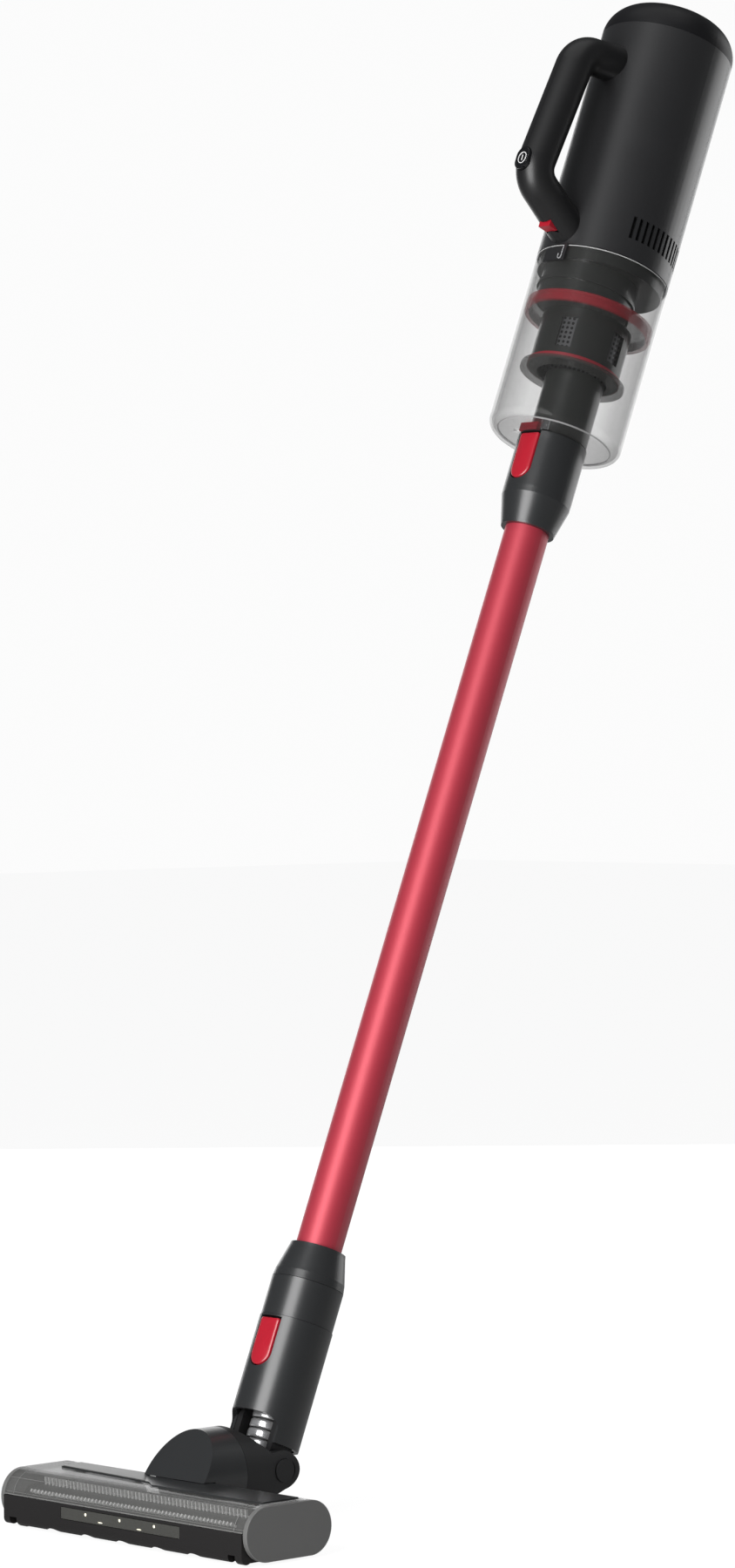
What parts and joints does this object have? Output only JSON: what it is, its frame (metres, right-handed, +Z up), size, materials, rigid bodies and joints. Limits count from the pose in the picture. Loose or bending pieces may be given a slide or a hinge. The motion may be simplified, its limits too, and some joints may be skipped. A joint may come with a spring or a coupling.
{
  "type": "upright vacuum cleaner",
  "caption": "Cordless upright stick vacuum cleaner: black power unit with loop handle, clear dust bin, red wand and a powered floor head on a two-axis neck.",
  "frame": {"origin": "on the floor under the middle of the floor head, on the bottom face of the felt strip", "axes": "+Z up, -Y the front of the floor head, +X the floor head's right end seen from behind; the stick leans back towards +Y by 22.7 degrees"},
  "size_m": [0.272, 0.6359, 1.1632],
  "materials": {
    "housing_black": "satin black moulded plastic",
    "cap_black": "glossy black",
    "grip_black": "satin black",
    "button_black": "high gloss black",
    "case_grey": "dark grey moulded plastic",
    "cell_sleeve": "shrink sleeve",
    "board_green": "lacquered circuit board",
    "motor_steel": "rolled steel can",
    "rotor_metal": "turned",
    "filter_felt": "pleated filter felt",
    "cyclone_black": "dark green-black moulded plastic",
    "seal_red": "soft red seal",
    "mesh_steel": "perforated sheet",
    "accent_red": "glossy red",
    "spring_steel": "wound wire",
    "bin_clear": "clear grey-tinted plastic",
    "pin_chrome": "plated contact pins",
    "connector_black": "satin black",
    "tube_red": "red anodised aluminium tube",
    "hose_silver": "silver ribbed hose",
    "elbow_black": "matte black",
    "cover_smoke": "smoke tinted clear plastic",
    "chassis_black": "matte black",
    "cap_grey": "satin dark grey",
    "window_smoke": "smoked light window",
    "led_white": "white lamp board",
    "felt_red": "red felt strip",
    "wheel_black": "soft black tread",
    "bristle_white": "white nylon bristles",
    "belt_black": "black drive belt"
  },
  "bodies": {
    "power_unit": {"motor_housing": "housing_black", "top_cap": "cap_black", "handle_left": "grip_black", "handle_right": "grip_black", "battery_case": "case_grey", "battery_cells": "cell_sleeve", "control_board": "board_green", "motor_can": "motor_steel", "exhaust_filter": "filter_felt", "cyclone_housing": "cyclone_black", "cyclone_cones": "cyclone_black", "pre_motor_filter": "filter_felt", "separator_plate": "cyclone_black", "seal_ring": "seal_red", "shroud": "cyclone_black", "shroud_mesh": "mesh_steel", "shroud_flange": "cyclone_black", "flange_trim": "accent_red", "latch_spring": "spring_steel"},
    "power_button": {"power_button": "button_black"},
    "bin_latch": {"bin_latch": "accent_red"},
    "fan_rotor": {"motor_rotor": "rotor_metal"},
    "dust_bin": {"bin_shell": "bin_clear", "inlet_duct": "cyclone_black", "bin_catch": "housing_black", "contact_pins": "pin_chrome", "latch_tongue": "seal_red"},
    "wand": {"wand_top_connector": "connector_black", "wand_button_spring": "spring_steel", "wand_tube": "tube_red", "wand_lower_collar": "connector_black", "wand_lower_ring": "connector_black"},
    "wand_release_button": {"wand_release_button": "accent_red"},
    "neck": {"neck_shell": "connector_black", "neck_yoke": "elbow_black", "head_button_spring": "spring_steel", "hose": "hose_silver"},
    "head_release_button": {"head_release_button": "accent_red"},
    "elbow": {"elbow_body": "elbow_black", "pivot_pins": "spring_steel", "pivot_caps": "elbow_black"},
    "floor_head": {"barrel_hood": "connector_black", "top_plate": "connector_black", "head_cover": "cover_smoke", "head_chassis": "chassis_black", "left_end_cap": "cap_grey", "light_window": "window_smoke", "led_board": "led_white", "sole_plate": "chassis_black", "floor_strip": "felt_red", "wheel_axles": "spring_steel", "brush_motor": "motor_steel", "drive_belt": "belt_black"},
    "right_end_cap": {"right_end_cap": "cap_grey"},
    "front_wheel_left": {"front_wheel_left": "wheel_black"},
    "front_wheel_right": {"front_wheel_right": "wheel_black"},
    "rear_roller": {"rear_roller": "wheel_black"},
    "brush": {"brush_core": "case_grey", "brush_bristles": "bristle_white"},
    "motor_pulley": {"motor_pulley": "rotor_metal"}
  },
  "joints": [
    {"name": "power_button_press", "type": "slide", "parent": "power_unit", "child": "power_button", "axis": [0, 0.9225, -0.3859], "range_m": [0, 0.0012], "stiffness_N_per_m": 600},
    {"name": "bin_latch_press", "type": "slide", "parent": "power_unit", "child": "bin_latch", "axis": [0, 0.9225, -0.3859], "range_m": [0, 0.003], "stiffness_N_per_m": 500, "deforming": ["latch_spring"]},
    {"name": "fan_spin", "type": "hinge", "parent": "power_unit", "child": "fan_rotor", "pos_m": [0, 0.48748, 0.99421], "axis": [0, 0.3859, 0.9225], "continuous": true},
    {"name": "bin_slide", "type": "slide", "parent": "power_unit", "child": "dust_bin", "axis": [0, -0.3859, -0.9225], "range_m": [0, 0.06]},
    {"name": "wand_slide", "type": "slide", "parent": "dust_bin", "child": "wand", "axis": [0, -0.3859, -0.9225], "range_m": [0, 0.05]},
    {"name": "wand_release_press", "type": "slide", "parent": "wand", "child": "wand_release_button", "axis": [0, 0.9225, -0.3859], "range_m": [0, 0.0015], "stiffness_N_per_m": 600, "deforming": ["wand_button_spring"]},
    {"name": "neck_slide", "type": "slide", "parent": "wand", "child": "neck", "axis": [0, -0.3859, -0.9225], "range_m": [0, 0.04]},
    {"name": "head_release_press", "type": "slide", "parent": "neck", "child": "head_release_button", "axis": [0, 0.9225, -0.3859], "range_m": [0, 0.0015], "stiffness_N_per_m": 600, "deforming": ["head_button_spring"]},
    {"name": "neck_pitch", "type": "hinge", "parent": "neck", "child": "elbow", "pos_m": [0, 0.09, 0.044], "axis": [1, 0, 0], "range_deg": [-22, 60], "deforming": ["hose"]},
    {"name": "neck_roll", "type": "hinge", "parent": "elbow", "child": "floor_head", "pos_m": [0, 0.09, 0.044], "axis": [0, 1, 0], "range_deg": [-40, 40]},
    {"name": "end_cap_slide", "type": "slide", "parent": "floor_head", "child": "right_end_cap", "axis": [1, 0, 0], "range_m": [0, 0.02]},
    {"name": "brush_spin", "type": "hinge", "parent": "floor_head", "child": "brush", "pos_m": [0, -0.017, 0.0194], "axis": [1, 0, 0], "continuous": true},
    {"name": "motor_pulley_spin", "type": "hinge", "parent": "floor_head", "child": "motor_pulley", "pos_m": [-0.1245, 0.024, 0.0225], "axis": [1, 0, 0], "continuous": true},
    {"name": "front_wheel_left_spin", "type": "hinge", "parent": "floor_head", "child": "front_wheel_left", "pos_m": [-0.121, -0.03, 0.006], "axis": [1, 0, 0], "continuous": true},
    {"name": "front_wheel_right_spin", "type": "hinge", "parent": "floor_head", "child": "front_wheel_right", "pos_m": [0.121, -0.03, 0.006], "axis": [1, 0, 0], "continuous": true},
    {"name": "rear_roller_spin", "type": "hinge", "parent": "floor_head", "child": "rear_roller", "pos_m": [0, 0.026, 0.005], "axis": [1, 0, 0], "continuous": true}
  ],
  "couplings": [
    {"joint": "motor_pulley_spin", "follows": "brush_spin", "ratio": 1.8}
  ]
}
